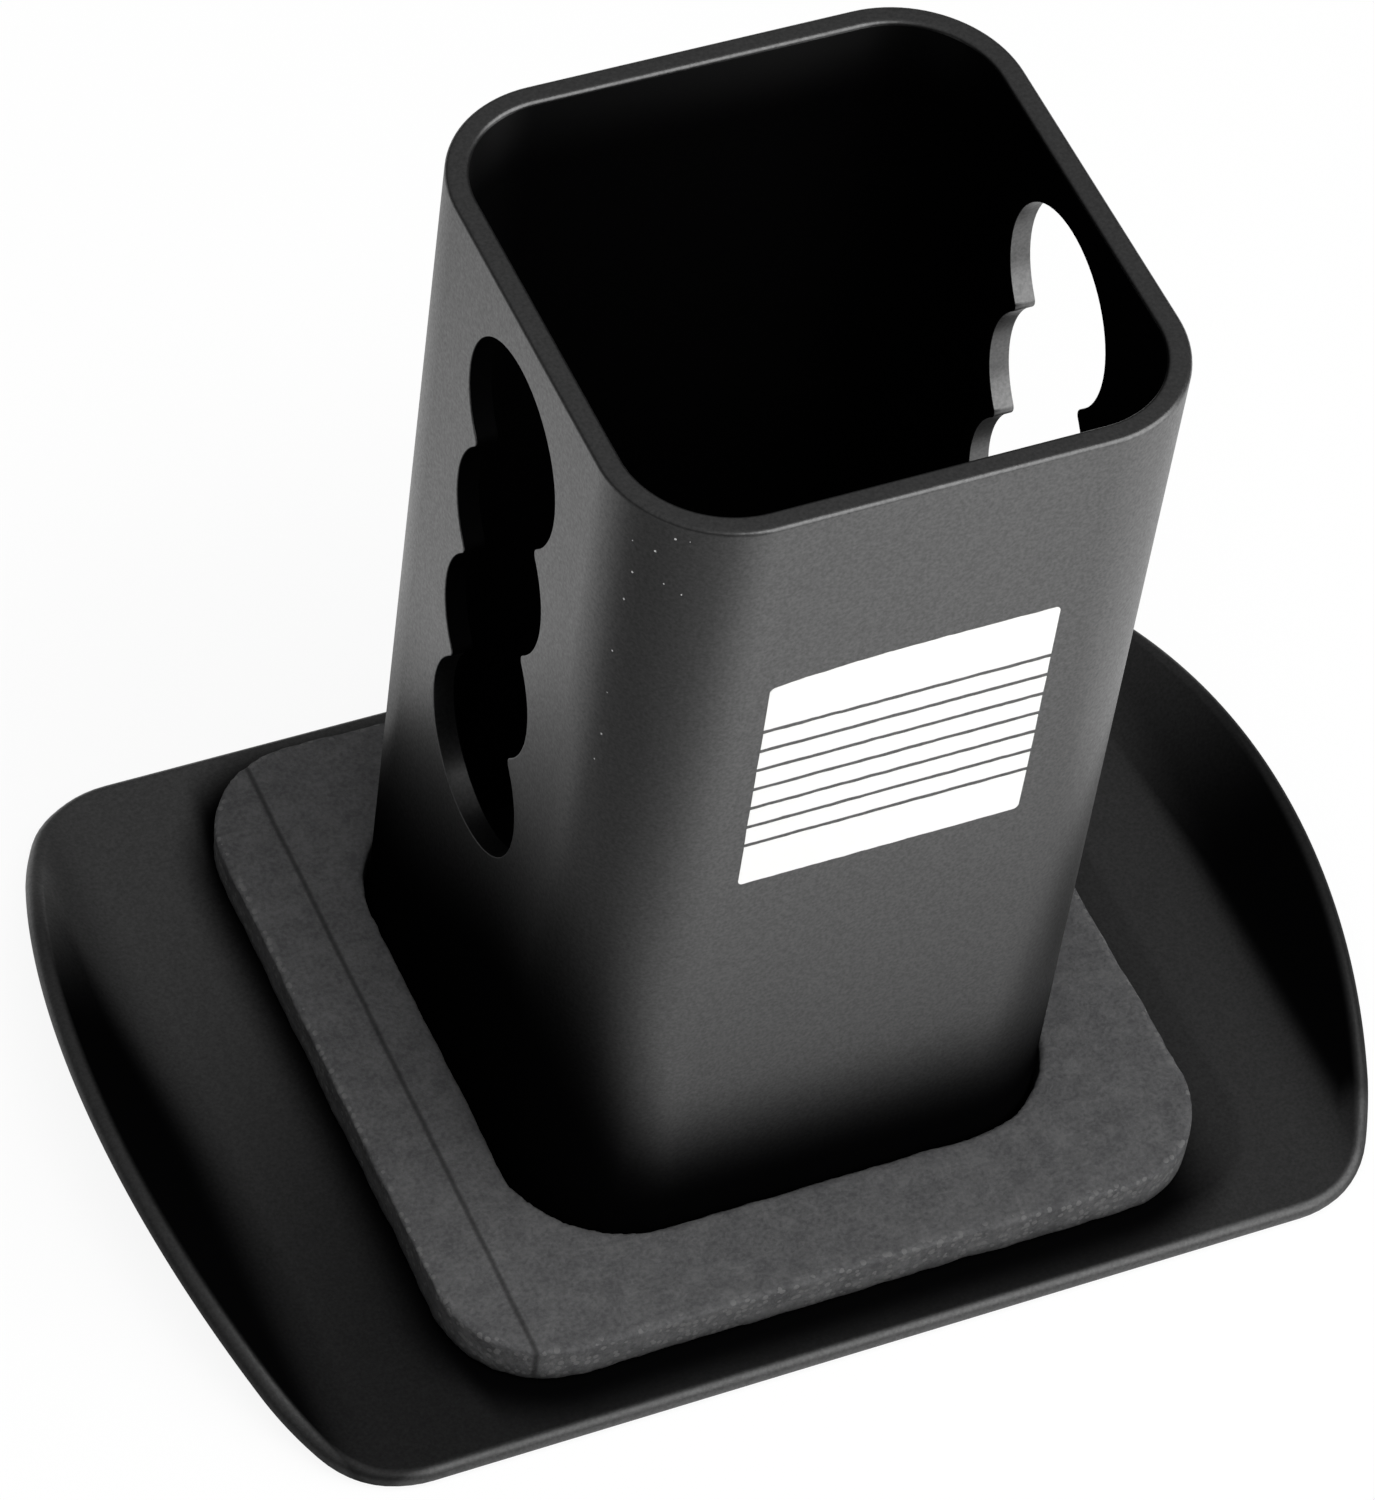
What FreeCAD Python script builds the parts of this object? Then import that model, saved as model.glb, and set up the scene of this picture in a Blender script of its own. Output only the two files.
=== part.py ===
import FreeCAD, Part
import math
import os

from BOPTools import SplitAPI
from FreeCAD import Vector

# Hitch receiver cover: a square shank with a column of pin holes, welded to a plate with turned up ends.
# Millimetres. X runs along the plate, -Y is the printed side, +Z runs up the shank.
# The origin is in the middle of the plate's outer face, on which the cover stands.

# Driving dimensions of the shank tube
shank_width = 50.8
shank_height = 95.25
shank_wall = 2.0
shank_corner = 10.8
rim_chamfer = 0.4

# Driving dimensions of the pin holes, which are counted down from the shank's mouth
pin_hole_diameter = 17.5
pin_hole_count = 4
pin_hole_pitch = 13.1
top_hole_depth = 12.95
cusp_rounding = 0.8

# Driving dimensions of the cover plate, the outline being that of the flat blank
plate_depth = 80.4
plate_thickness = 2.0
blank_length = 121.9
end_arc_radius = 65.5
corner_radius = 10.5
bend_line = 45.5
bend_radius = 9.2
bend_angle = 45.0

# Driving dimensions of the foam gasket round the foot of the shank
gasket_width = 72.2
gasket_depth = 70.8
gasket_thickness = 4.5
gasket_corner = 10.0
gasket_clearance = 0.5

# Driving dimension of the weld inside the foot of the shank
weld_leg = 3.0

# Where the bent sheet keeps its length, as a share of its thickness from the inside of the bend
neutral_share = 0.45
# How far a cutting tool reaches past what it cuts
overrun = 2.0
# Points through which the folded outline is drawn on each corner and end
curve_points = 17


def round_square(width, depth, corner, z):
    """A closed wire round the Z axis at height z, with round corners."""
    turns = [(1, 1, 0), (-1, 1, 90), (-1, -1, 180), (1, -1, 270)]
    arcs = []
    for side_x, side_y, start in turns:
        centre = Vector(side_x * (width / 2 - corner), side_y * (depth / 2 - corner), z)
        arcs.append(Part.makeCircle(corner, centre, Vector(0, 0, 1), start, start + 90))
    edges = []
    for index, arc in enumerate(arcs):
        following = arcs[(index + 1) % len(arcs)]
        edges.append(arc)
        edges.append(Part.makeLine(arc.lastVertex().Point, following.firstVertex().Point))
    return Part.Wire(edges)


def prism(wire, height):
    """The solid that stands on a closed level wire."""
    return Part.Face(wire).extrude(Vector(0, 0, height))


def closed_wire(edges, mirror_normal):
    """A closed wire from one half's edges and their mirror image."""
    mirrored = [edge.mirror(Vector(0, 0, 0), mirror_normal) for edge in edges]
    return Part.Wire(Part.__sortEdges__(edges + mirrored))


def side_arc(centre_y, centre_z, radius, start, end):
    """An arc in the YZ plane, its angles in degrees from +Y towards +Z."""
    points = []
    for angle in (start, (start + end) / 2, end):
        turn = math.radians(angle)
        points.append(Vector(0, centre_y + radius * math.cos(turn), centre_z + radius * math.sin(turn)))
    return Part.Arc(*points).toShape()


def pin_slot():
    """The column of overlapping pin holes, right through both side walls.

    Neighbouring holes run into each other, and the point of metal left on each side between
    them is rounded off by a small arc that touches both holes."""
    hole = pin_hole_diameter / 2
    half_pitch = pin_hole_pitch / 2
    cusp_y = math.sqrt((hole + cusp_rounding) ** 2 - half_pitch ** 2)
    touch = math.degrees(math.atan2(half_pitch, cusp_y))
    last = pin_hole_count - 1
    top_hole = plate_thickness + shank_height - top_hole_depth
    half = []
    for index in range(pin_hole_count):
        z = top_hole - (last - index) * pin_hole_pitch
        low = -90 if index == 0 else -touch
        high = 90 if index == last else touch
        half.append(side_arc(0, z, hole, low, high))
        if index < last:
            half.append(side_arc(cusp_y, z + half_pitch, cusp_rounding, 180 + touch, 180 - touch))
    outline = closed_wire(half, Vector(0, 1, 0))
    reach = shank_width / 2 + overrun
    outline.translate(Vector(-reach, 0, 0))
    return Part.Face(outline).extrude(Vector(2 * reach, 0, 0))


def shank_tube():
    """The square tube that goes into the receiver, open at the top, with the edges of its rim taken off."""
    inner_width = shank_width - 2 * shank_wall
    inner_corner = shank_corner - shank_wall
    top = plate_thickness + shank_height
    outside = prism(round_square(shank_width, shank_width, shank_corner, plate_thickness), shank_height)
    inside = prism(round_square(inner_width, inner_width, inner_corner, plate_thickness), shank_height)
    tube = outside.cut(inside)
    rim = [edge for edge in tube.Edges if edge.BoundBox.ZMin > top - rim_chamfer]
    return tube.makeChamfer(rim_chamfer, rim).cut(pin_slot())


def neutral_radius():
    """The radius at which the sheet keeps its flat length round the bend."""
    return bend_radius + neutral_share * plate_thickness


def fold(x, y, lift):
    """Where a point of the flat blank goes once the ends are bent.

    lift is the point's height over the inside face, so the outside face is at minus the thickness."""
    turn = math.radians(bend_angle)
    run = max(abs(x) - bend_line, 0)
    angle = min(run / neutral_radius(), turn)
    straight = run - neutral_radius() * angle
    radius = bend_radius - lift
    across = min(abs(x), bend_line) + radius * math.sin(angle) + straight * math.cos(angle)
    height = plate_thickness + bend_radius - radius * math.cos(angle) + straight * math.sin(angle)
    return Vector(math.copysign(across, x), y, height)


def bent_strip():
    """The sheet bent at both ends, longer and deeper than the plate so that it can be trimmed."""
    turn = math.radians(bend_angle)
    bend_middle = bend_line + neutral_radius() * turn / 2
    bend_end = bend_line + neutral_radius() * turn
    tip = blank_length / 2 + overrun
    half = []
    for lift in (0, -plate_thickness):
        flat_end = fold(bend_line, 0, lift)
        half.append(Part.Arc(flat_end, fold(bend_middle, 0, lift), fold(bend_end, 0, lift)).toShape())
        half.append(Part.makeLine(fold(bend_end, 0, lift), fold(tip, 0, lift)))
    half.append(Part.makeLine(fold(tip, 0, 0), fold(tip, 0, -plate_thickness)))
    mirrored = [edge.mirror(Vector(0, 0, 0), Vector(1, 0, 0)) for edge in half]
    flats = [Part.makeLine(fold(-bend_line, 0, lift), fold(bend_line, 0, lift)) for lift in (0, -plate_thickness)]
    section = Part.Wire(Part.__sortEdges__(half + mirrored + flats))
    section.translate(Vector(0, -plate_depth / 2 - overrun, 0))
    return Part.Face(section).extrude(Vector(0, plate_depth + 2 * overrun, 0))


def plan_arc(centre_x, centre_y, radius, start, end):
    """Points along an arc of the blank's outline, its angles in radians from +X."""
    points = []
    for step in range(curve_points):
        angle = start + (end - start) * step / (curve_points - 1)
        points.append((centre_x + radius * math.cos(angle), centre_y + radius * math.sin(angle)))
    return points


def blank_outline():
    """The flat blank's outline as stretches of points: straight sides, round corners, arched ends."""
    half_depth = plate_depth / 2
    end_centre = blank_length / 2 - end_arc_radius
    corner_y = half_depth - corner_radius
    corner_x = end_centre + math.sqrt((end_arc_radius - corner_radius) ** 2 - corner_y ** 2)
    meeting = math.atan2(corner_y, corner_x - end_centre)
    right = math.pi / 2
    half = [
        [(-corner_x, -half_depth), (corner_x, -half_depth)],
        plan_arc(corner_x, -corner_y, corner_radius, -right, -meeting),
        plan_arc(end_centre, 0, end_arc_radius, -meeting, meeting),
        plan_arc(corner_x, corner_y, corner_radius, meeting, right),
    ]
    other = [[(-x, -y) for x, y in stretch] for stretch in half]
    return half + other


def folded_outline(lift):
    """The blank's outline carried over to the bent sheet, at a height over its inside face."""
    edges = []
    for stretch in blank_outline():
        points = [fold(x, y, lift) for x, y in stretch]
        if len(points) == 2:
            edges.append(Part.makeLine(points[0], points[1]))
        else:
            curve = Part.BSplineCurve()
            curve.interpolate(points)
            edges.append(curve.toShape())
    return Part.Wire(edges)


def cover_plate():
    """The bent strip trimmed along the folded outline, square to the sheet all the way round."""
    above = folded_outline(overrun / 2)
    below = folded_outline(-plate_thickness - overrun / 2)
    knife = Part.makeRuledSurface(above, below)
    pieces = SplitAPI.slice(bent_strip(), [knife], "Split", 0.0)
    return max(pieces.Solids, key=lambda piece: piece.Volume)


def foam_gasket():
    """The soft pad that seals against the mouth of the receiver, with room for the shank."""
    hole_width = shank_width + 2 * gasket_clearance
    hole_corner = shank_corner + gasket_clearance
    pad = prism(round_square(gasket_width, gasket_depth, gasket_corner, plate_thickness), gasket_thickness)
    hole = prism(round_square(hole_width, hole_width, hole_corner, plate_thickness), gasket_thickness)
    return pad.cut(hole)


def weld_bead():
    """The three cornered weld that joins plate and shank, round the inside of the shank's foot."""
    width = shank_width - 2 * shank_wall
    corner = shank_corner - shank_wall
    top = plate_thickness + weld_leg
    block = prism(round_square(width, width, corner, plate_thickness), weld_leg)
    toe = round_square(width - 2 * weld_leg, width - 2 * weld_leg, corner - weld_leg, plate_thickness)
    hollow = Part.makeLoft([toe, round_square(width, width, corner, top)], True, True)
    return block.cut(hollow)


def save(node, shape):
    """Writes one piece and prints its size."""
    solid = shape.Solids[0]
    solid.exportStep(os.path.join("parts", node + ".step"))
    box = solid.optimalBoundingBox()
    print(node, "solids", len(shape.Solids), "valid", solid.isValid(), "volume", round(solid.Volume, 1))
    print("    from", round(box.XMin, 3), round(box.YMin, 3), round(box.ZMin, 3),
          "to", round(box.XMax, 3), round(box.YMax, 3), round(box.ZMax, 3))


os.makedirs("parts", exist_ok=True)
save("shank_tube", shank_tube())
save("cover_plate", cover_plate())
save("foam_gasket", foam_gasket())
save("weld_bead", weld_bead())
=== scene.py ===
# %% [markdown]
# # Hitch receiver cover
# A square steel shank with a column of pin holes stands on a bent cover plate, with a foam gasket round its
# foot.
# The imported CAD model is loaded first. It is the frame: it says where each piece goes and how large it is.
# The pieces that show are then modelled over it, in the same axes. Sizes are written in millimetres.

import math

import bmesh
import bpy
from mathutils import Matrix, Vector


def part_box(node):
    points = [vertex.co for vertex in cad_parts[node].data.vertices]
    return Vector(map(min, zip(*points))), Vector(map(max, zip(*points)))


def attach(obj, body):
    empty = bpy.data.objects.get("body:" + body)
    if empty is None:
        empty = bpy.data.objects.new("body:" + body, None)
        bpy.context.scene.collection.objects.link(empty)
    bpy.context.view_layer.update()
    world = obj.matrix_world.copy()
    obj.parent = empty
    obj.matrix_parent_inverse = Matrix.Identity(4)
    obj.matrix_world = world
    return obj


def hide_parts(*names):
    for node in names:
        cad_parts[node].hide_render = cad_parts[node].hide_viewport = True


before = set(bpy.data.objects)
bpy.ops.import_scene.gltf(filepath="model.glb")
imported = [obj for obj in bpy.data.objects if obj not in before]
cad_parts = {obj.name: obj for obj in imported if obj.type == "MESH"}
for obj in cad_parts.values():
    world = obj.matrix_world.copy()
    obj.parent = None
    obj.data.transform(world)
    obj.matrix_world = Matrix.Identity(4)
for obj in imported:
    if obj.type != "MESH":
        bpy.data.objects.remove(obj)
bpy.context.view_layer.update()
bpy.ops.object.select_all(action="DESELECT")
print("frame nodes:", sorted(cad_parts))

# %% [markdown]
# ## Camera
# The photograph was taken from the front left, looking down at about fifty degrees, with a long lens held a
# little turned. Place, turn and focal length come from fitting the straight edges of the shank's rim, its sides
# and the plate to the photograph, so they are written as found. The long side of the picture is 36 mm of sensor.

# %% Camera
camera_data = bpy.data.cameras.new("camera")
camera_data.sensor_width = 36.0
camera_data.lens = 169.337
camera_data.clip_start = 0.01
camera_data.clip_end = 20.0
camera = bpy.data.objects.new("camera", camera_data)
camera.location = (-0.20401, -0.33968, 0.50034)
camera.rotation_euler = [math.radians(angle) for angle in (40.0738, -5.8104, -23.5304)]
bpy.context.scene.collection.objects.link(camera)
bpy.context.scene.camera = camera
print("camera at", tuple(camera.location), "lens", camera_data.lens)

# %% [markdown]
# ## Ways to build a piece
# Each piece starts as a primitive of its own size and is shaped in edit mode. These helpers do the small
# repeated steps: add a block, pick edges and faces by where they are and which way they run, apply a modifier.
# Picking in code by place does what a click does by hand, and it still works when a size changes.

# %% Block and selection
MM = 0.001


def add_block(name, low, high):
    """A box between two corners given in millimetres, its object at the origin."""
    low, high = Vector(low) * MM, Vector(high) * MM
    bpy.ops.mesh.primitive_cube_add(size=1, location=(low + high) / 2, scale=high - low)
    piece = bpy.context.object
    piece.name = name
    bpy.ops.object.transform_apply(location=True, rotation=True, scale=True)
    return piece


def take(piece):
    """Makes one piece the only one selected, and the active one."""
    bpy.ops.object.select_all(action="DESELECT")
    piece.select_set(True)
    bpy.context.view_layer.objects.active = piece


def edit(piece, mode):
    """Goes into edit mode on one piece, with nothing selected."""
    take(piece)
    bpy.ops.object.mode_set(mode="EDIT")
    bpy.ops.mesh.select_mode(type=mode)
    bpy.ops.mesh.select_all(action="DESELECT")


def select_edges(piece, wanted):
    """In edit mode, selects the edges for which wanted(middle in mm, direction) is true."""
    mesh = bmesh.from_edit_mesh(piece.data)
    for edge in mesh.edges:
        a, b = edge.verts[0].co, edge.verts[1].co
        edge.select_set(bool(wanted((a + b) / 2 / MM, (b - a).normalized())))
    bmesh.update_edit_mesh(piece.data)
    return sum(edge.select for edge in mesh.edges)


def select_faces(piece, wanted):
    """In edit mode, selects the faces for which wanted(middle in mm, normal) is true."""
    mesh = bmesh.from_edit_mesh(piece.data)
    for face in mesh.faces:
        face.select_set(bool(wanted(face.calc_center_median() / MM, face.normal)))
    bmesh.update_edit_mesh(piece.data)
    return sum(face.select for face in mesh.faces)


def bevel_selected(radius, segments):
    """In edit mode, rounds the selected edges."""
    bpy.ops.mesh.bevel(offset=radius * MM, offset_type="OFFSET", segments=segments, profile=0.5, affect="EDGES")


def round_upright_edges(piece, radius, segments):
    """Rounds the four upright edges of a block."""
    edit(piece, "EDGE")
    select_edges(piece, lambda middle, way: abs(way.z) > 0.99)
    bevel_selected(radius, segments)
    bpy.ops.object.mode_set(mode="OBJECT")


print("one millimetre is", MM, "of Blender's units")

# %% Modifiers
EDGE_ANGLE = math.radians(50)
SMOOTH_ANGLE = math.radians(35)


def apply(piece, kind, **values):
    """Adds a modifier, sets its values and applies it."""
    bpy.context.view_layer.objects.active = piece
    modifier = piece.modifiers.new(kind.lower(), kind)
    for name, value in values.items():
        setattr(modifier, name, value)
    bpy.ops.object.modifier_apply(modifier=modifier.name)


def round_sharp_edges(piece, width, segments):
    """Rounds every edge that is sharper than the edge angle."""
    apply(piece, "BEVEL", width=width * MM, segments=segments, limit_method="ANGLE", angle_limit=EDGE_ANGLE)


def smooth(piece):
    """Shades one piece smooth, but keeps its sharp edges, and lets large faces rule the normals."""
    take(piece)
    bpy.ops.object.shade_smooth_by_angle(angle=SMOOTH_ANGLE)
    apply(piece, "WEIGHTED_NORMAL", keep_sharp=True)


def cut(piece, tool):
    """Cuts one piece out of another and deletes the tool."""
    apply(piece, "BOOLEAN", operation="DIFFERENCE", solver="EXACT", object=tool)
    bpy.data.objects.remove(tool)


print("edges over", round(math.degrees(EDGE_ANGLE)), "degrees are rounded")

# %% [markdown]
# ## Shank
# The shank is a piece of square tube. A block is added at its outside size, its upright edges are rounded, the
# two ends are deleted and a Solidify modifier gives the wall. The rim is then softened by a Bevel modifier.
# Cutting a smaller block out of a larger one would also do, but Solidify keeps the wall even round the corners
# by itself.

# %% Shank tube
WALL = 2.0
SHANK_CORNER = 10.8
RIM_ROUNDING = 0.42
shank_low, shank_high = (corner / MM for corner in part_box("shank_tube"))
shank = add_block("shank", shank_low, shank_high)
round_upright_edges(shank, SHANK_CORNER, 24)
edit(shank, "FACE")
select_faces(shank, lambda middle, normal: abs(normal.z) > 0.9)
bpy.ops.mesh.delete(type="ONLY_FACE")
bpy.ops.object.mode_set(mode="OBJECT")
apply(shank, "SOLIDIFY", thickness=WALL * MM, offset=-1.0, use_even_offset=True)
round_sharp_edges(shank, RIM_ROUNDING, 4)
print("shank from", shank_low, "to", shank_high)

# %% [markdown]
# ## Pin slot
# Four pin holes run into each other, and the points of metal between them are rounded off. One half of that
# outline is a chain of arcs, drawn with the spin operator: a hole, a small arc that touches both holes, the next
# hole. A chain of arcs gives that rounding exactly, which a tool made of four cylinders would not.


# %% Half of the slot's outline
def draw_outline(name, start, arcs, axis):
    """Draws a line of arcs in edit mode from one vertex, each arc a (centre, degrees, steps) turn about an axis.

    Millimetres. Turns are counted anticlockwise, and the spin operator turns the other way."""
    bpy.ops.object.select_all(action="DESELECT")
    bpy.ops.mesh.primitive_plane_add(size=MM, location=Vector(start) * MM)
    piece = bpy.context.object
    piece.name = name
    bpy.ops.object.transform_apply(location=True, rotation=True, scale=True)
    bpy.ops.object.mode_set(mode="EDIT")
    bpy.ops.mesh.select_mode(type="VERT")
    bpy.ops.mesh.select_all(action="SELECT")
    bpy.ops.mesh.merge(type="CENTER")
    for centre, degrees, steps in arcs:
        bpy.ops.mesh.spin(steps=steps, angle=-math.radians(degrees), center=Vector(centre) * MM, axis=axis)
    return piece


HOLE_RADIUS = 8.75
PITCH = 13.1
CUSP_RADIUS = 0.8
HOLE_COUNT = 4
TOP_HOLE_DEPTH = 12.95
TOOL_REACH = 35.0
top_hole = shank_high.z - TOP_HOLE_DEPTH
lowest_hole = top_hole - (HOLE_COUNT - 1) * PITCH
cusp_y = math.sqrt((HOLE_RADIUS + CUSP_RADIUS) ** 2 - (PITCH / 2) ** 2)
touch = math.degrees(math.atan2(PITCH / 2, cusp_y))
slot_arcs = []
for index in range(HOLE_COUNT):
    middle = lowest_hole + index * PITCH
    first = 90 if index == 0 else touch
    last = 90 if index == HOLE_COUNT - 1 else touch
    slot_arcs.append(((-TOOL_REACH, 0, middle), first + last, 24))
    if index < HOLE_COUNT - 1:
        slot_arcs.append(((-TOOL_REACH, cusp_y, middle + PITCH / 2), -2 * touch, 8))
slot_tool = draw_outline("slot_tool", (-TOOL_REACH, 0, lowest_hole - HOLE_RADIUS), slot_arcs, (1, 0, 0))
print("arcs in half of the outline:", len(slot_arcs))

# %% [markdown]
# The half is copied and mirrored to the other side, joined where the two meet, filled and extruded to a tool.
# The tool is long enough to cut both walls at once, as one pass of a drill would, so the holes line up.

# %% Cut the slot
SLOT_ROUNDING = 0.12
bpy.ops.mesh.select_all(action="SELECT")
bpy.ops.mesh.duplicate()
bpy.ops.transform.resize(value=(1, -1, 1), center_override=(0, 0, 0))
bpy.ops.mesh.select_all(action="SELECT")
bpy.ops.mesh.remove_doubles(threshold=0.01 * MM)
bpy.ops.mesh.edge_face_add()
bpy.ops.mesh.extrude_region_move(TRANSFORM_OT_translate={"value": (2 * TOOL_REACH * MM, 0, 0)})
bpy.ops.mesh.select_all(action="SELECT")
bpy.ops.mesh.normals_make_consistent(inside=False)
bpy.ops.object.mode_set(mode="OBJECT")
print("slot tool faces", len(slot_tool.data.polygons))
cut(shank, slot_tool)
round_sharp_edges(shank, SLOT_ROUNDING, 2)
smooth(shank)
print("shank faces", len(shank.data.polygons))

# %% [markdown]
# ## Ways to build a material
# A material is a small machine of nodes. Most of its work is masks: values from 0 to 1 that say where on the
# piece something happens. They are worked out from the piece's own coordinates, here turned into millimetres,
# so a mask stays in its place on the piece wherever the camera is. The reach of a mask is the stretch over which
# it changes, from where it starts to where it is complete.


# %% Nodes and masks
def feed(tree, value, socket):
    """Gives an input socket a plain value, or links it to another node's output."""
    if isinstance(value, bpy.types.NodeSocket):
        tree.links.new(value, socket)
    else:
        socket.default_value = value


def combine(tree, kind, first, *others):
    """A chain of Math nodes of one kind over two or more values, each an output or a number.

    A kind that works on one value, such as the square root, ignores the second."""
    for other in others:
        node = tree.nodes.new("ShaderNodeMath")
        node.operation = kind
        feed(tree, first, node.inputs[0])
        feed(tree, other, node.inputs[1])
        first = node.outputs["Value"]
    return first


def fade(tree, value, reach, result=(0.0, 1.0), smooth_ends=True):
    """Goes from one result to another while a value goes over its reach, softly at both ends or evenly."""
    node = tree.nodes.new("ShaderNodeMapRange")
    node.interpolation_type = "SMOOTHSTEP" if smooth_ends else "LINEAR"
    feed(tree, value, node.inputs["Value"])
    for number, name in zip((*reach, *result), ("From Min", "From Max", "To Min", "To Max")):
        feed(tree, number, node.inputs[name])
    return node.outputs["Result"]


def split_in_mm(tree, place):
    """The three coordinates of the object's own space, in millimetres."""
    scaled = tree.nodes.new("ShaderNodeVectorMath")
    scaled.operation = "SCALE"
    scaled.inputs["Scale"].default_value = 1 / MM
    tree.links.new(place, scaled.inputs[0])
    node = tree.nodes.new("ShaderNodeSeparateXYZ")
    tree.links.new(scaled.outputs["Vector"], node.inputs["Vector"])
    return node.outputs["X"], node.outputs["Y"], node.outputs["Z"]


def mix_colours(tree, share, first, second):
    """The first colour where the share is 0, the second where it is 1."""
    node = tree.nodes.new("ShaderNodeMix")
    node.data_type = "RGBA"
    for value, name in ((share, "Factor"), (first, "A"), (second, "B")):
        feed(tree, value, node.inputs[name])
    return node.outputs["Result"]


def new_material(name, values):
    """A material with only its Principled shader, some of its inputs set, and the object's own coordinates."""
    material = bpy.data.materials.new(name)
    material.use_nodes = True
    tree = material.node_tree
    shader = tree.nodes["Principled BSDF"]
    for label, value in values.items():
        shader.inputs[label].default_value = value
    return material, tree, shader, tree.nodes.new("ShaderNodeTexCoord").outputs["Object"]


print("helpers for materials are ready")

# %% [markdown]
# ## Shared effects
# Fine texture, dots and the way out from the gasket's edge are used by more than one material, so each is a node
# group, built once. A group puts out a value or a normal and nothing else, and the material decides what to do
# with it.


# %% Fine grain and specks
def new_group(name, inputs, outputs):
    """An empty shader node group with named sockets."""
    group = bpy.data.node_groups.new(name, "ShaderNodeTree")
    for label, kind, value in inputs:
        socket = group.interface.new_socket(name=label, in_out="INPUT", socket_type=kind)
        if value is not None:
            socket.default_value = value
    for label, kind in outputs:
        group.interface.new_socket(name=label, in_out="OUTPUT", socket_type=kind)
    return group, group.nodes.new("NodeGroupInput").outputs, group.nodes.new("NodeGroupOutput").inputs


def add_group(tree, group, vector, **values):
    """Puts a node group into a material and sets its inputs."""
    node = tree.nodes.new("ShaderNodeGroup")
    node.node_tree = group
    tree.links.new(vector, node.inputs["Vector"])
    for name, value in values.items():
        feed(tree, value, node.inputs[name])
    return node.outputs


def fine_grain_group():
    """Small bumps, as on powder coat or foam: puts out their height and a normal."""
    group, start, end = new_group(
        "fine_grain",
        [("Vector", "NodeSocketVector", None), ("Scale", "NodeSocketFloat", 2500.0),
         ("Strength", "NodeSocketFloat", 0.2), ("Distance", "NodeSocketFloat", 0.0001)],
        [("Height", "NodeSocketFloat"), ("Normal", "NodeSocketVector")])
    noise = group.nodes.new("ShaderNodeTexNoise")
    noise.inputs["Detail"].default_value = 3.0
    noise.inputs["Roughness"].default_value = 0.6
    bump = group.nodes.new("ShaderNodeBump")
    link = group.links.new
    link(start["Vector"], noise.inputs["Vector"])
    link(start["Scale"], noise.inputs["Scale"])
    link(noise.outputs["Fac"], bump.inputs["Height"])
    link(start["Strength"], bump.inputs["Strength"])
    link(start["Distance"], bump.inputs["Distance"])
    link(noise.outputs["Fac"], end["Height"])
    link(bump.outputs["Normal"], end["Normal"])
    return group


def specks_group():
    """Scattered dots: puts out a mask that is one on a dot. Share says how many of the cells have one."""
    group, start, end = new_group(
        "specks",
        [("Vector", "NodeSocketVector", None), ("Scale", "NodeSocketFloat", 300.0),
         ("Size", "NodeSocketFloat", 0.06), ("Share", "NodeSocketFloat", 0.05)],
        [("Mask", "NodeSocketFloat")])
    cells = group.nodes.new("ShaderNodeTexVoronoi")
    split = group.nodes.new("ShaderNodeSeparateColor")
    link = group.links.new
    link(start["Vector"], cells.inputs["Vector"])
    link(start["Scale"], cells.inputs["Scale"])
    link(cells.outputs["Color"], split.inputs["Color"])
    near_middle = combine(group, "LESS_THAN", cells.outputs["Distance"], start["Size"])
    chosen = combine(group, "LESS_THAN", split.outputs["Red"], start["Share"])
    link(combine(group, "MULTIPLY", near_middle, chosen), end["Mask"])
    return group


fine_grain = fine_grain_group()
specks = specks_group()
print("node groups:", fine_grain.name, specks.name)

# %% Way out from the gasket's edge
GASKET_CORNER = 10.0
gasket_low, gasket_high = (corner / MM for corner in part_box("foam_gasket"))


def from_gasket_group():
    """How many millimetres a point lies outside the gasket's outline, less than zero being inside it."""
    group, start, end = new_group("from_gasket", [("Vector", "NodeSocketVector", None)],
                                  [("Distance", "NodeSocketFloat")])
    x, y, z = split_in_mm(group, start["Vector"])
    squares = []
    for value, half in ((x, gasket_high.x), (y, gasket_high.y)):
        away = combine(group, "SUBTRACT", combine(group, "ABSOLUTE", value, 0.0), half - GASKET_CORNER)
        squares.append(combine(group, "POWER", combine(group, "MAXIMUM", away, 0.0), 2.0))
    from_centre = combine(group, "SQRT", combine(group, "ADD", *squares), 0.0)
    group.links.new(combine(group, "SUBTRACT", from_centre, GASKET_CORNER), end["Distance"])
    return group


from_gasket = from_gasket_group()
print("gasket outline:", round(2 * gasket_high.x, 2), "by", round(2 * gasket_high.y, 2))

# %% [markdown]
# ## Powder coat
# Powder coat is a baked plastic skin on the steel. Here it is satin black: nearly no colour of its own, a broad
# soft reflection and a very fine texture that makes its gloss uneven. The base is left matte and black, and the
# Coat layer of the Principled shader does all the shining, so one mask on Coat Weight can dull it with painted
# shade where needed. A few specks of dust lie about, most of them on the front left corner near the mouth.

# %% Powder coat
BLACK_POWDER = (0.0012, 0.0012, 0.0013, 1)
DUST = (0.55, 0.55, 0.55, 1)
TOWARDS_FRONT_LEFT = (-0.85, -0.53)
DUSTY_CORNER = (30.0, 30.6)
DUSTY_HEIGHT = (60.0, 80.0)
DUST_SHARES = (0.003, 0.90)
GLOSS_OF_GRAIN = (0.68, 1.0)


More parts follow.
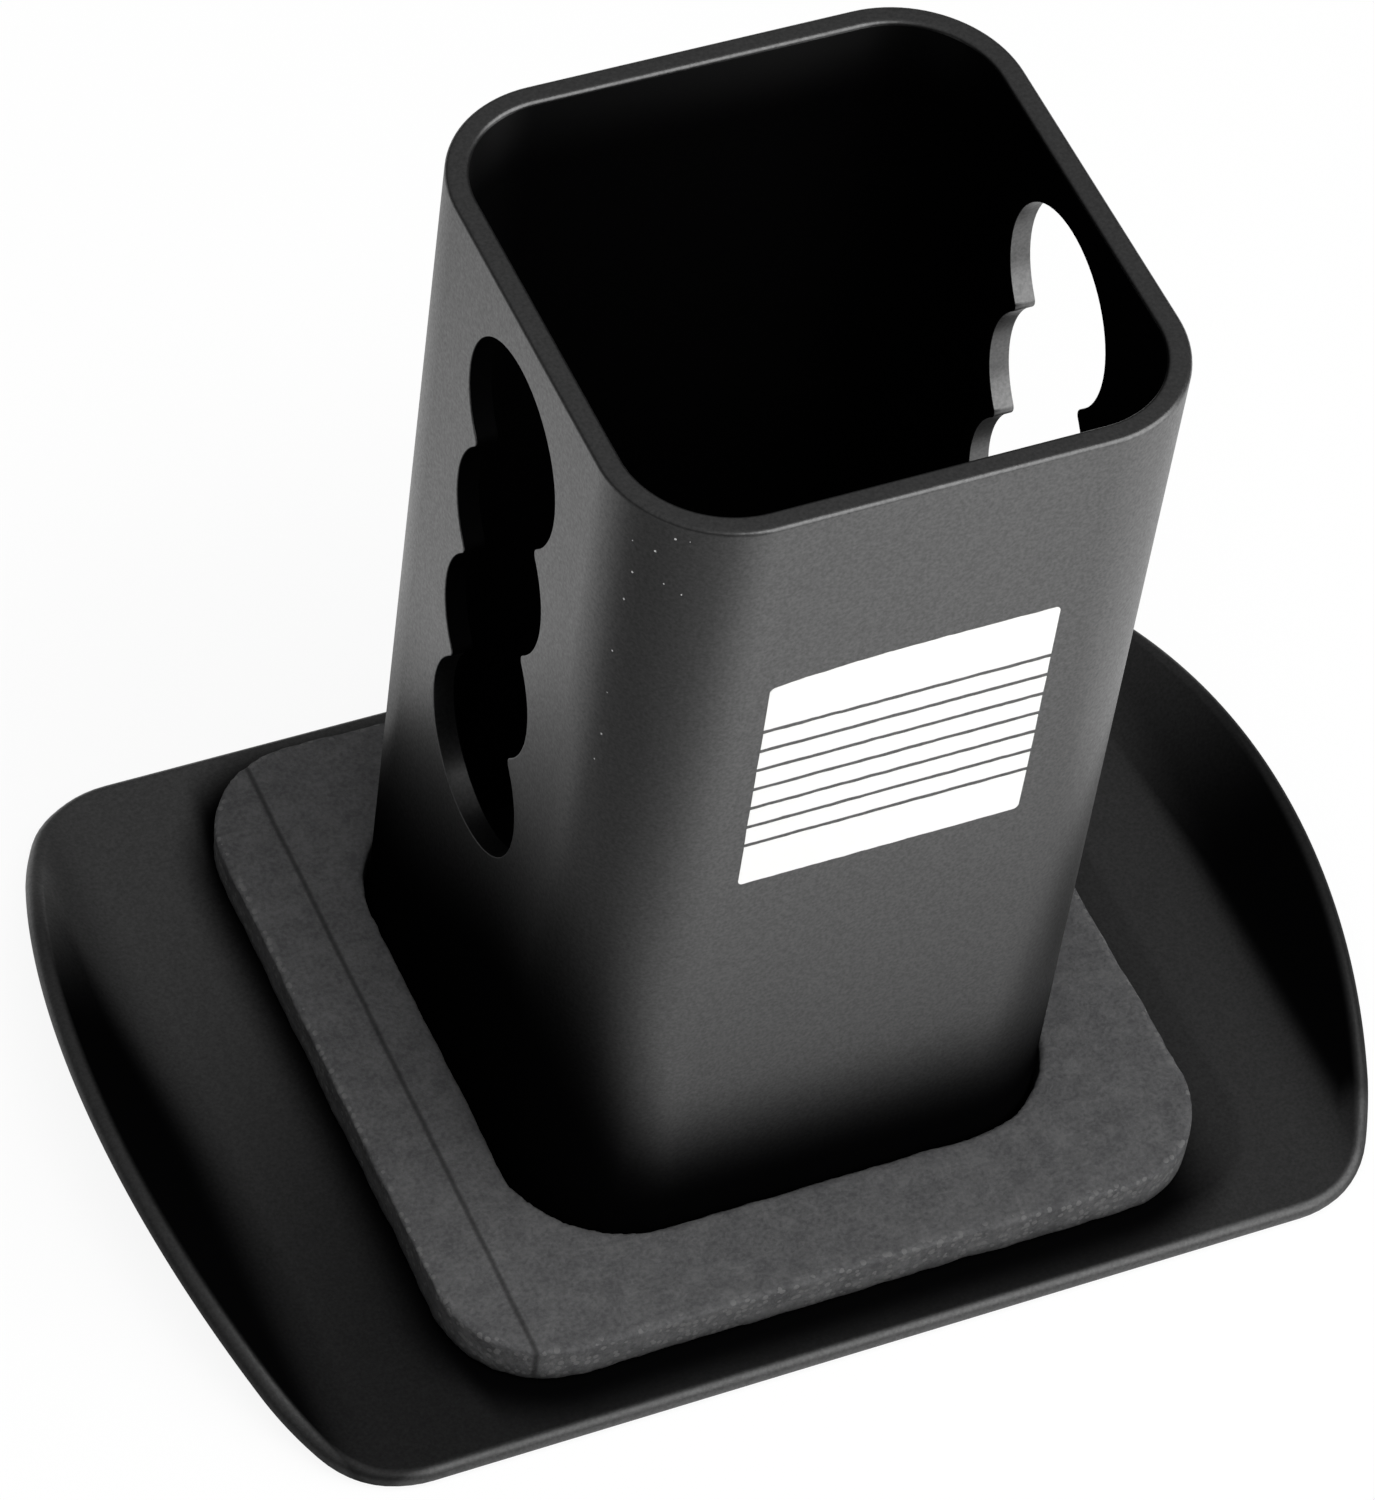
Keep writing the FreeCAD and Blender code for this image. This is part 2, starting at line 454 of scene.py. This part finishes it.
def coat_material(name, coat_roughness, coat_ior):
    """Satin black powder coat with a little dust. Also gives a mask for the uneven gloss of its grain."""
    material, tree, shader, place = new_material(name, {
        "Roughness": 0.5, "Specular IOR Level": 0.0, "Coat Roughness": coat_roughness, "Coat IOR": coat_ior})
    x, y, z = split_in_mm(tree, place)
    grain = add_group(tree, fine_grain, place, Scale=3200.0, Strength=0.3, Distance=0.00005)
    corner = combine(tree, "ADD", *(combine(tree, "MULTIPLY", value, part)
                                    for value, part in zip((x, y), TOWARDS_FRONT_LEFT)))
    dusty = combine(tree, "MULTIPLY", fade(tree, corner, DUSTY_CORNER), fade(tree, z, DUSTY_HEIGHT))
    share = fade(tree, dusty, (0.0, 1.0), DUST_SHARES, smooth_ends=False)
    dots = add_group(tree, specks, place, Scale=650.0, Size=0.07, Share=share)
    feed(tree, mix_colours(tree, dots["Mask"], BLACK_POWDER, DUST), shader.inputs["Base Color"])
    feed(tree, grain["Normal"], shader.inputs["Normal"])
    uneven = fade(tree, grain["Height"], (0.3, 0.7), GLOSS_OF_GRAIN, smooth_ends=False)
    return material, tree, shader, place, uneven


print("colours of the coat and of its dust:", BLACK_POWDER[:3], DUST[:3])

# %% [markdown]
# ## Coat on the shank
# Near its foot the shank mirrors the dark gasket and plate, and at the front left corner this dark band reaches
# much higher. In the photograph it is deeper than plain lamps make it, so a painted shade fades the gloss out
# there, between a height where the fade starts and one where it is over, both of them changing round the tube.

# %% Shank coat
LEFT_CORNER_START = (-25.4, -19.0)
LEFT_CORNER_END = (-22.0, -14.6)
SIDE_BACKWARDS = (-12.0, 14.0)
FADE_STARTS_CORNER, FADE_STARTS_FRONT = 26.0, 9.0
FADE_ENDS_CORNER, FADE_ENDS_FRONT = 54.0, 26.0
FADE_LOWER_BEHIND = 12.0
shank_coat, tree, shader, place, uneven = coat_material("shank_powder_coat", 0.35, 2.4)
x, y, z = split_in_mm(tree, place)
# painted shade: the gloss fades out towards the foot, and much higher at the front left corner
fade_starts = combine(
    tree, "SUBTRACT",
    fade(tree, x, LEFT_CORNER_START, (FADE_STARTS_CORNER, FADE_STARTS_FRONT), smooth_ends=False),
    fade(tree, y, SIDE_BACKWARDS, (0.0, FADE_LOWER_BEHIND)))
fade_ends = fade(tree, x, LEFT_CORNER_END, (FADE_ENDS_CORNER, FADE_ENDS_FRONT))
gloss = fade(tree, z, (fade_starts, fade_ends))
feed(tree, combine(tree, "MULTIPLY", gloss, uneven), shader.inputs["Coat Weight"])
print("shank material:", shank_coat.name)

# %% [markdown]
# A finished piece gets its material and is told two things: which body of the part it rides on, and which CAD
# node it stands for, so that this node is no longer shown under it.


# %% Finish the shank
def finish_piece(piece, material, node):
    """Gives a piece its material and its place in the frame."""
    piece.data.materials.clear()
    piece.data.materials.append(material)
    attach(piece, "root")
    if node:
        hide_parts(node)
    print(piece.name, "faces", len(piece.data.polygons))


finish_piece(shank, shank_coat, "shank_tube")

# %% [markdown]
# ## Inside of the shank
# The inside of the deep tube lies in shade, and so do the cut walls of the left slot above its lowest hole. They
# get
# a painted shade: a dull, darker copy of the coat, with a painted sheen only near the mouth, on the back wall.
# The inner faces are picked by their distance from the middle and get a second material slot.

# %% Inside: painted shade and sheen
SHADED_INSIDE_BLACK = (0.0008, 0.0008, 0.0009, 1)
MOUTH_REACH = (89.0, 98.0)
BACK_WALL_REACH = (10.0, 20.0)
inside_coat, tree, shader, place = new_material("painted_shade_inside_coat", {
    "Base Color": SHADED_INSIDE_BLACK, "Roughness": 0.6, "Specular IOR Level": 0.02, "Coat Roughness": 0.5})
grain = add_group(tree, fine_grain, place, Scale=1800.0, Strength=0.35, Distance=0.00008)
feed(tree, grain["Normal"], shader.inputs["Normal"])
x, y, z = split_in_mm(tree, place)
# painted sheen: a little coat shine near the mouth, on the back wall only
painted_sheen_by_mouth = combine(tree, "MULTIPLY", fade(tree, z, MOUTH_REACH, (0.0, 0.5)), fade(tree, y, BACK_WALL_REACH))
feed(tree, painted_sheen_by_mouth, shader.inputs["Coat Weight"])
print("inside material:", inside_coat.name)

# %% Inner faces
INNER_LIMIT = shank_high.x - WALL + 0.2
SLOT_HALF_WIDTH = 9.5
slot_wall_foot, slot_wall_top = lowest_hole + 5.0, top_hole + 9.0


def is_inside(middle, normal):
    """True for the tube's inner faces, and for the cut walls of the left slot above its lowest hole."""
    inwards = normal.x * middle.x + normal.y * middle.y < -1
    inner = inwards and max(abs(middle.x), abs(middle.y)) < INNER_LIMIT and middle.z < shank_high.z - 0.5
    in_left_wall = shank_low.x + 0.1 < middle.x < -INNER_LIMIT + 0.2 and abs(middle.y) < SLOT_HALF_WIDTH
    slot_wall = in_left_wall and abs(normal.x) < 0.3 and slot_wall_foot < middle.z < slot_wall_top
    return inner or slot_wall


# the inner faces and the upper walls of the left slot take the painted shade material
shank.data.materials.append(inside_coat)
edit(shank, "FACE")
inner_faces = select_faces(shank, is_inside)
shank.active_material_index = 1
bpy.ops.object.material_slot_assign()
bpy.ops.object.mode_set(mode="OBJECT")
print("inner faces:", inner_faces)

# %% [markdown]
# ## Cover plate, flat
# The real plate is cut flat from sheet, and only then bent, so it is made the same way here. The right end of
# the blank is a chain of three arcs: a round corner, the arched end, the other round corner. A copy turned half
# round gives the left end. Filled, extruded and with its edges rounded, that is the flat blank.

# %% Flat blank
THICKNESS = 2.0
DEPTH = 80.4
BLANK_LENGTH = 121.9
END_RADIUS = 65.5
BLANK_CORNER = 10.5
PLATE_ROUNDING = 0.95
end_centre = BLANK_LENGTH / 2 - END_RADIUS
corner_y = DEPTH / 2 - BLANK_CORNER
corner_x = end_centre + math.sqrt((END_RADIUS - BLANK_CORNER) ** 2 - corner_y ** 2)
meeting = math.degrees(math.atan2(corner_y, corner_x - end_centre))
blank_arcs = [
    ((corner_x, -corner_y, 0), 90 - meeting, 10),
    ((end_centre, 0, 0), 2 * meeting, 64),
    ((corner_x, corner_y, 0), 90 - meeting, 10),
]
plate = draw_outline("plate", (corner_x, -DEPTH / 2, 0), blank_arcs, (0, 0, 1))
bpy.ops.mesh.select_all(action="SELECT")
bpy.ops.mesh.duplicate()
bpy.ops.transform.rotate(value=math.pi, orient_axis="Z", center_override=(0, 0, 0))
bpy.ops.mesh.select_all(action="SELECT")
bpy.ops.mesh.edge_face_add()
bpy.ops.mesh.extrude_region_move(TRANSFORM_OT_translate={"value": (0, 0, THICKNESS * MM)})
bpy.ops.mesh.select_all(action="SELECT")
bpy.ops.mesh.normals_make_consistent(inside=False)
bpy.ops.object.mode_set(mode="OBJECT")
round_sharp_edges(plate, PLATE_ROUNDING, 6)
print("blank is", [round(size / MM, 2) for size in plate.dimensions])

# %% [markdown]
# ## Cover plate, bent
# A bend needs vertices where the sheet curves. The bisect operator cuts the blank across at small steps along
# both bend zones. Then each vertex is carried to its place on the bent sheet: the middle stays, the bend zone
# goes round the bend's centre, and what lies beyond goes up at the bend's angle.

# %% Bend the blank
BEND_LINE = 45.5
BEND_RADIUS = 9.2
BEND_ANGLE = math.radians(45)
NEUTRAL = BEND_RADIUS + 0.45 * THICKNESS
BEND_STEPS = 16
edit(plate, "VERT")
for side in (-1, 1):
    for step in range(BEND_STEPS + 1):
        x = side * (BEND_LINE + NEUTRAL * BEND_ANGLE * step / BEND_STEPS)
        bpy.ops.mesh.select_all(action="SELECT")
        bpy.ops.mesh.bisect(plane_co=(x * MM, 0, 0), plane_no=(1, 0, 0), threshold=0.00001)
bpy.ops.object.mode_set(mode="OBJECT")


def fold(point):
    """Where a point of the flat blank goes once the ends are bent."""
    x, y, z = point / MM
    run = max(abs(x) - BEND_LINE, 0)
    angle = min(run / NEUTRAL, BEND_ANGLE)
    straight = run - NEUTRAL * angle
    radius = BEND_RADIUS + THICKNESS - z
    across = min(abs(x), BEND_LINE) + radius * math.sin(angle) + straight * math.cos(angle)
    height = THICKNESS + BEND_RADIUS - radius * math.cos(angle) + straight * math.sin(angle)
    return Vector((math.copysign(across, x), y, height)) * MM


for vertex in plate.data.vertices:
    vertex.co = fold(vertex.co)
plate.data.update()
smooth(plate)
print("bent plate is", [round(size / MM, 2) for size in plate.dimensions])

# %% [markdown]
# ## Coat on the plate
# The plate has the same coat, a little duller. What it mirrors is painted over it: a painted shadow runs as a
# dark line along the gasket, and each turned up end has a painted dark band where it mirrors the shank. A mask
# for each of these is one where the coat stays glossy, and all of them are multiplied.

# %% Plate coat: bands
GASKET_LINE, WIDER_AT_LEFT = (0.8, 6.0), 1.7
RIGHT_OF_GASKET, LINE_AT_RIGHT = (30.0, 40.0), 0.8
LEFT_BAND, LEFT_BAND_BACK = (-51.3, -47.3), (10.0, 32.0)
BAND_LEANS, BAND_LEAN = (-4.0, 24.0), 2.4
RIGHT_BAND, RIGHT_BAND_FRONT, RIGHT_BAND_BACK = (48.6, 50.8), (-33.0, -29.0), (-4.0, 22.0)
plate_coat, tree, shader, place, uneven = coat_material("plate_powder_coat", 0.45, 2.5)
x, y, z = split_in_mm(tree, place)
# painted shadow: a dark line along the gasket, wider at the left
past_gasket = combine(tree, "ADD", add_group(tree, from_gasket, place)["Distance"],
                      fade(tree, x, (-36.5, -34.0), (WIDER_AT_LEFT, 0.0)))
painted_gasket_shadow = combine(tree, "MAXIMUM", fade(tree, past_gasket, GASKET_LINE),
                    fade(tree, x, RIGHT_OF_GASKET, (0.0, LINE_AT_RIGHT)))
# painted dark bands on the turned up ends, where they mirror the shank
outwards = combine(tree, "ADD", x, fade(tree, y, BAND_LEANS, (0.0, BAND_LEAN)))
painted_left_end_band = combine(tree, "MAXIMUM", fade(tree, outwards, LEFT_BAND), fade(tree, y, LEFT_BAND_BACK))
painted_right_end_band = combine(tree, "MAXIMUM", fade(tree, x, RIGHT_BAND, (1.0, 0.0)),
                    fade(tree, y, RIGHT_BAND_FRONT, (0.9, 0.0)), fade(tree, y, RIGHT_BAND_BACK))
print("masks for:", plate_coat.name)

# %% [markdown]
# A painted shade makes the level part glossier from front to back, apart from the right, which is even. The
# rounded edges catch light all the way round, and a painted mask sets how glossy each of them is. On an arched
# end the edge is found by how far a point lay from the arch's centre before the sheet was bent: on a slope, a
# step across is a longer step along the sheet.

# %% Plate coat: level and edges
FRONT_GLOSS, BACK_GLOSS, RIGHT_GLOSS = 0.34, 1.0, 0.58
LEFT_EDGE_GLOSS, RIGHT_EDGE_GLOSS, SIDE_EDGE_GLOSS = 0.62, 0.24, 0.68
# painted shade: the level part is duller at the front and at the right
lengthwise = fade(tree, y, (-32.0, 32.0), (FRONT_GLOSS, BACK_GLOSS))
to_right = fade(tree, x, (20.0, 38.0))
level = combine(tree, "ADD", lengthwise,
                combine(tree, "MULTIPLY", to_right, combine(tree, "SUBTRACT", RIGHT_GLOSS, lengthwise)))
bent_away = BEND_LINE + BEND_RADIUS * math.sin(BEND_ANGLE)
slope = math.cos(BEND_ANGLE)
unbent = BEND_LINE + NEUTRAL * BEND_ANGLE - bent_away / slope - end_centre
along = combine(tree, "ADD", combine(tree, "DIVIDE", combine(tree, "ABSOLUTE", x, 0.0), slope), unbent)
squares = combine(tree, "ADD", combine(tree, "POWER", along, 2.0), combine(tree, "POWER", y, 2.0))
# painted gloss on the rounded edges, which rides over the painted shade
painted_end_edge_gloss = combine(
    tree, "MULTIPLY",
    fade(tree, combine(tree, "SQRT", squares, 0.0), (END_RADIUS - 1.1, END_RADIUS - 0.1)),
    fade(tree, x, (-10.0, 10.0), (LEFT_EDGE_GLOSS, RIGHT_EDGE_GLOSS)))
half_depth = DEPTH / 2
painted_side_edge_gloss = fade(tree, combine(tree, "ABSOLUTE", y, 0.0), (half_depth - 1.2, half_depth - 0.2),
                 (0.0, SIDE_EDGE_GLOSS))
bands = combine(tree, "MULTIPLY", painted_left_end_band, painted_right_end_band, painted_gasket_shadow, level)
gloss = combine(tree, "MAXIMUM", bands, painted_end_edge_gloss, painted_side_edge_gloss)
feed(tree, combine(tree, "MULTIPLY", gloss, uneven), shader.inputs["Coat Weight"])
finish_piece(plate, plate_coat, "cover_plate")

# %% [markdown]
# ## Foam gasket
# A pad of closed cell foam with a hole for the shank. A block with round corners is cut, then remeshed into
# small even faces, so that its edges go soft and a Displace modifier can give it the uneven surface of cut foam.
# A groove shows where a strip joins the pad near its left edge.

# %% Foam gasket: pad and groove
GASKET_HOLE = 25.9
GASKET_HOLE_CORNER = 11.3
SEAM_X = -30.4
SEAM_WIDTH = 0.4
SEAM_DEPTH = 0.8
SEAM_SIDE_DEPTH = 0.7
FOOT_ROUNDING = 0.8
gasket = add_block("gasket", gasket_low, gasket_high)
round_upright_edges(gasket, GASKET_CORNER, 12)
edit(gasket, "EDGE")
select_edges(gasket, lambda middle, way: middle.z < gasket_low.z + 0.01)
bevel_selected(FOOT_ROUNDING, 3)
bpy.ops.object.mode_set(mode="OBJECT")
hole = add_block("gasket_hole", (-GASKET_HOLE, -GASKET_HOLE, gasket_low.z - 2),
                 (GASKET_HOLE, GASKET_HOLE, gasket_high.z + 2))
round_upright_edges(hole, GASKET_HOLE_CORNER, 12)
cut(gasket, hole)
seam_left, seam_right = SEAM_X - SEAM_WIDTH / 2, SEAM_X + SEAM_WIDTH / 2
seam = add_block("seam_tool", (seam_left, gasket_low.y - 1, gasket_high.z - SEAM_DEPTH),
                 (seam_right, gasket_high.y + 1, gasket_high.z + 1))
cut(gasket, seam)
seam_side = add_block("seam_side_tool", (seam_left, gasket_low.y - 1, gasket_low.z - 1),
                      (seam_right, gasket_low.y + SEAM_SIDE_DEPTH, gasket_high.z + 1))
cut(gasket, seam_side)
print("gasket faces before it is made soft:", len(gasket.data.polygons))

# %% Foam gasket: soft surface
VOXEL = 0.35
WAVES = (("foam_waves", 12.0, 0.35), ("foam_unevenness", 2.2, 0.26))
apply(gasket, "REMESH", mode="VOXEL", voxel_size=VOXEL * MM)
apply(gasket, "SMOOTH", factor=0.5, iterations=2)
for name, length, strength in WAVES:
    texture = bpy.data.textures.new(name, "CLOUDS")
    texture.noise_scale = length * MM
    apply(gasket, "DISPLACE", texture=texture, strength=strength * MM, mid_level=0.5)
take(gasket)
bpy.ops.object.shade_smooth()
print("gasket is", [round(size / MM, 2) for size in gasket.dimensions])

# %% [markdown]
# ## Foam
# Closed cell foam is matte and dark grey, mottled finely and a little broadly. On its cut sides the opened cells
# show as pale dots. The seam and the foot of the pad lie in shade. The colour is mixed step by step, and each
# step has its own mask.

# %% Foam finish
FOAM_DARK, FOAM_LIGHT = (0.056, 0.056, 0.058, 1), (0.092, 0.092, 0.093, 1)
OPEN_CELL = (0.11, 0.11, 0.11, 1)
SEAM_SHADE = (0.015, 0.015, 0.015, 1)
SEAM_REACH = (0.05, 0.4)
FOOT_REACH = (2.1, 4.2)
foam, tree, shader, place = new_material("charcoal_foam", {"Roughness": 0.95, "Specular IOR Level": 0.15})
x, y, z = split_in_mm(tree, place)
grain = add_group(tree, fine_grain, place, Scale=2300.0, Strength=0.5, Distance=0.0002)
broad = add_group(tree, fine_grain, place, Scale=550.0)
mottle = tree.nodes.new("ShaderNodeValToRGB")
for element, position, colour in zip(mottle.color_ramp.elements, (0.38, 0.62), (FOAM_DARK, FOAM_LIGHT)):
    element.position = position
    element.color = colour
feed(tree, combine(tree, "ADD", combine(tree, "MULTIPLY", grain["Height"], 0.55),
                   combine(tree, "MULTIPLY", broad["Height"], 0.45)), mottle.inputs["Fac"])
cut_side = fade(tree, add_group(tree, from_gasket, place)["Distance"], (-0.9, -0.2))
cells = add_group(tree, specks, place, Scale=1500.0, Size=0.42, Share=0.6)
with_cells = mix_colours(tree, combine(tree, "MULTIPLY", cut_side, cells["Mask"]),
                         mottle.outputs["Color"], OPEN_CELL)
# painted shade: darker in the seam's groove and towards the foot of the pad
from_seam = combine(tree, "ABSOLUTE", combine(tree, "SUBTRACT", x, SEAM_X), 0.0)
clear = combine(tree, "MULTIPLY", fade(tree, from_seam, SEAM_REACH, (0.30, 1.0)),
                fade(tree, z, FOOT_REACH, (0.25, 1.0)))
feed(tree, mix_colours(tree, clear, SEAM_SHADE, with_cells), shader.inputs["Base Color"])
feed(tree, grain["Normal"], shader.inputs["Normal"])
finish_piece(gasket, foam, "foam_gasket")

# %% [markdown]
# ## Weld
# The weld inside the foot of the shank hardly shows, so the CAD node is kept and only gets the coat.

# %% Weld
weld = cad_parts["weld_bead"]
weld.data.materials.clear()
weld.data.materials.append(plate_coat)
print("weld material:", plate_coat.name)

# %% [markdown]
# ## Print
# White ink on the front of the shank: a square with plain thin lines left open, through which the coat shows.
# A thin block is cut by an array of seven thin bars, so the lines are real gaps and not a picture.

# %% Print
INK = 0.04
PRINT_LEFT, PRINT_RIGHT = -13.0, 12.7
PRINT_FOOT, PRINT_TOP = 52.7, 78.3
PRINT_CORNER = 0.5
LINE = 0.45
LINE_COUNT = 7
LINE_REACH = 14.0
LOWEST_LINE = 57.8
LINE_PITCH = 2.4
face_y = shank_low.y
panel = add_block("print", (PRINT_LEFT, face_y - INK, PRINT_FOOT), (PRINT_RIGHT, face_y, PRINT_TOP))
edit(panel, "EDGE")
select_edges(panel, lambda middle, way: abs(way.y) > 0.99)
bevel_selected(PRINT_CORNER, 5)
bpy.ops.object.mode_set(mode="OBJECT")
lines = add_block("line_tool", (-LINE_REACH, face_y - 1, LOWEST_LINE - LINE / 2),
                  (LINE_REACH, face_y + 1, LOWEST_LINE + LINE / 2))
apply(lines, "ARRAY", count=LINE_COUNT, use_relative_offset=False, use_constant_offset=True,
      constant_offset_displace=(0, 0, LINE_PITCH * MM))
cut(panel, lines)
print("print faces", len(panel.data.polygons))

# %% [markdown]
# Screen printed edges are never quite straight. The long edges are divided by bisecting the print into narrow
# columns, two Displace modifiers move the points a little up and sideways, and the top edge drops to the left.

# %% Uneven edges
COLUMNS = 48
UNEVENNESS = 0.16
DROP_STARTS = 74.0
TOP_DROP = 0.8
edit(panel, "VERT")
for column in range(1, COLUMNS):
    x = PRINT_LEFT + (PRINT_RIGHT - PRINT_LEFT) * column / COLUMNS
    bpy.ops.mesh.select_all(action="SELECT")
    bpy.ops.mesh.bisect(plane_co=(x * MM, 0, 0), plane_no=(1, 0, 0), threshold=0.000001)
bpy.ops.object.mode_set(mode="OBJECT")
for name, axis, length in (("ink_edge_up", "Z", 1.2), ("ink_edge_across", "X", 1.8)):
    texture = bpy.data.textures.new(name, "CLOUDS")
    texture.noise_scale = length * MM
    apply(panel, "DISPLACE", texture=texture, direction=axis, strength=UNEVENNESS * MM, mid_level=0.5)
for vertex in panel.data.vertices:
    share = max(0, vertex.co.x / MM / PRINT_LEFT) ** 2
    rise = max(0, vertex.co.z / MM - DROP_STARTS) / (PRINT_TOP - DROP_STARTS)
    vertex.co.z -= TOP_DROP * share * rise * MM
print("columns:", COLUMNS)

# %% [markdown]
# ## Ink
# Screen ink is flat white and matte, and it follows the grain of the coat under it a little. It is too thin to
# need more than that.

# %% Ink finish
ink, tree, shader, place = new_material("white_ink", {"Base Color": (0.85, 0.85, 0.84, 1), "Roughness": 0.6})
grain = add_group(tree, fine_grain, place, Scale=2600.0, Strength=0.1, Distance=0.00005)
feed(tree, grain["Normal"], shader.inputs["Normal"])
finish_piece(panel, ink, None)

# %% [markdown]
# ## Floor
# The photograph has a pure white ground on which shadows hardly show. The floor is white paper. The satin coat
# mirrors it, and in the photograph not all of it is equally bright: the front left corner of the shank is a dark
# band between two lighter faces, and the foot is darker than the mouth. So the light that reflections find on
# the
# floor is a painted reflection: dimmed in some places, and brightest at the back, at the right and in a narrow
# strip by the plate.

# %% Floor: what reflections find
TOWARDS_CORNER, CORNER_REACH = (-0.84, -0.54), (37.0, 90.0)
FRONT_REACH, LEFT_REACH, RIGHT_REACH = (-95.0, -45.0), (-70.0, -20.0), (45.0, 75.0)
BACK_REACH, FAR_BACK_REACH = (-20.0, 18.0), (70.0, 120.0)
STRIP_FRONT, STRIP_BACK, STRIP_LEFT = (-45.0, -43.0), (-40.0, -38.0), (-56.0, -50.0)
paper, tree, shader, place = new_material("white_paper", {
    "Base Color": (0.92, 0.92, 0.92, 1), "Roughness": 0.9, "Specular IOR Level": 0.0})
x, y, z = split_in_mm(tree, place)
towards_corner = combine(tree, "ADD", *(combine(tree, "MULTIPLY", value, part)
                                        for value, part in zip((x, y), TOWARDS_CORNER)))
corner_band = fade(tree, towards_corner, CORNER_REACH, (1.0, 0.28))
front = fade(tree, y, FRONT_REACH, (1.0, 0.48))
back = combine(tree, "MINIMUM", fade(tree, y, BACK_REACH), fade(tree, y, FAR_BACK_REACH, (1.0, 0.75)))
right = fade(tree, x, RIGHT_REACH)
left = fade(tree, x, LEFT_REACH, (0.78, 1.0))
by_plate = combine(tree, "MULTIPLY", fade(tree, y, STRIP_FRONT), fade(tree, y, STRIP_BACK, (1.0, 0.0)),
                   fade(tree, x, STRIP_LEFT))
# painted reflection: how bright the floor glows for reflections, by place
mirrored = combine(tree, "MULTIPLY", corner_band, left, combine(tree, "MAXIMUM", front, back, right, by_plate))
print("floor material:", paper.name)

# %% [markdown]
# For the camera, paper under soft lamps would look grey. The Light Path node tells which kind of ray asks, and
# each kind gets its own share of plain white glow over the real paper. The paper that is left in the mix keeps
# the object's shadow, a little stronger close to the object.

# %% Floor: what the camera sees
MIRROR_SHARE = 0.95
SHADOW_REACH = (60.0 * MM, 100.0 * MM)
away = tree.nodes.new("ShaderNodeVectorMath")
away.operation = "LENGTH"
tree.links.new(place, away.inputs[0])
seen = fade(tree, away.outputs["Value"], SHADOW_REACH, (0.90, 0.955))
path = tree.nodes.new("ShaderNodeLightPath")
shown = shader.outputs["BSDF"]
# glossy rays find the painted reflection glow
for ray, share, strength in (("Is Camera Ray", seen, 1.0), ("Is Glossy Ray", MIRROR_SHARE, mirrored),
                             ("Is Transmission Ray", seen, 1.0)):
    glow = tree.nodes.new("ShaderNodeEmission")
    glow.inputs["Color"].default_value = (1, 1, 1, 1)
    feed(tree, strength, glow.inputs["Strength"])
    mix = tree.nodes.new("ShaderNodeMixShader")
    feed(tree, combine(tree, "MULTIPLY", path.outputs[ray], share), mix.inputs["Fac"])
    feed(tree, shown, mix.inputs[1])
    feed(tree, glow.outputs["Emission"], mix.inputs[2])
    shown = mix.outputs["Shader"]
feed(tree, shown, tree.nodes["Material Output"].inputs["Surface"])
bpy.ops.object.select_all(action="DESELECT")
bpy.ops.mesh.primitive_circle_add(vertices=96, radius=4, fill_type="NGON", location=(0, 0, 0))
floor = bpy.context.object
floor.name = "floor"
floor.data.materials.append(paper)
print("floor:", floor.name)

# %% [markdown]
# ## Light
# The foam is brightest at its front and darkest left of the shank, and a soft shadow lies behind the shank on
# the left: the main light is a soft box at the front right. A wider one overhead opens the shadows, and the
# world is dim, darker low down than overhead, so that the level plate reflects more of it than the turned up
# ends.

# %% Light
world = bpy.data.worlds.new("world")
bpy.context.scene.world = world
world.use_nodes = True
tree = world.node_tree
sky = tree.nodes["Background"]
sky.inputs["Color"].default_value = (1, 1, 1, 1)
way = tree.nodes.new("ShaderNodeSeparateXYZ")
feed(tree, tree.nodes.new("ShaderNodeTexCoord").outputs["Generated"], way.inputs["Vector"])
feed(tree, fade(tree, way.outputs["Z"], (0.05, 0.7), (0.03, 0.23)), sky.inputs["Strength"])


def add_lamp(name, place, aim, size, power):
    """A square soft lamp at a place, turned towards another, both in metres."""
    data = bpy.data.lights.new(name, "AREA")
    data.shape = "SQUARE"
    data.size = size
    data.energy = power
    lamp = bpy.data.objects.new(name, data)
    lamp.location = place
    lamp.rotation_euler = (Vector(aim) - Vector(place)).to_track_quat("-Z", "Y").to_euler()
    bpy.context.scene.collection.objects.link(lamp)
    return lamp


key = add_lamp("key", (0.40, -0.42, 0.36), (0.03, -0.05, 0.0), 0.8, 4.25)
fill = add_lamp("fill", (-0.10, -0.35, 1.0), (0, 0, 0.03), 1.0, 8.4)
fill.visible_glossy = False
bpy.context.scene.view_settings.view_transform = "Standard"
print("lamps:", key.name, fill.name)
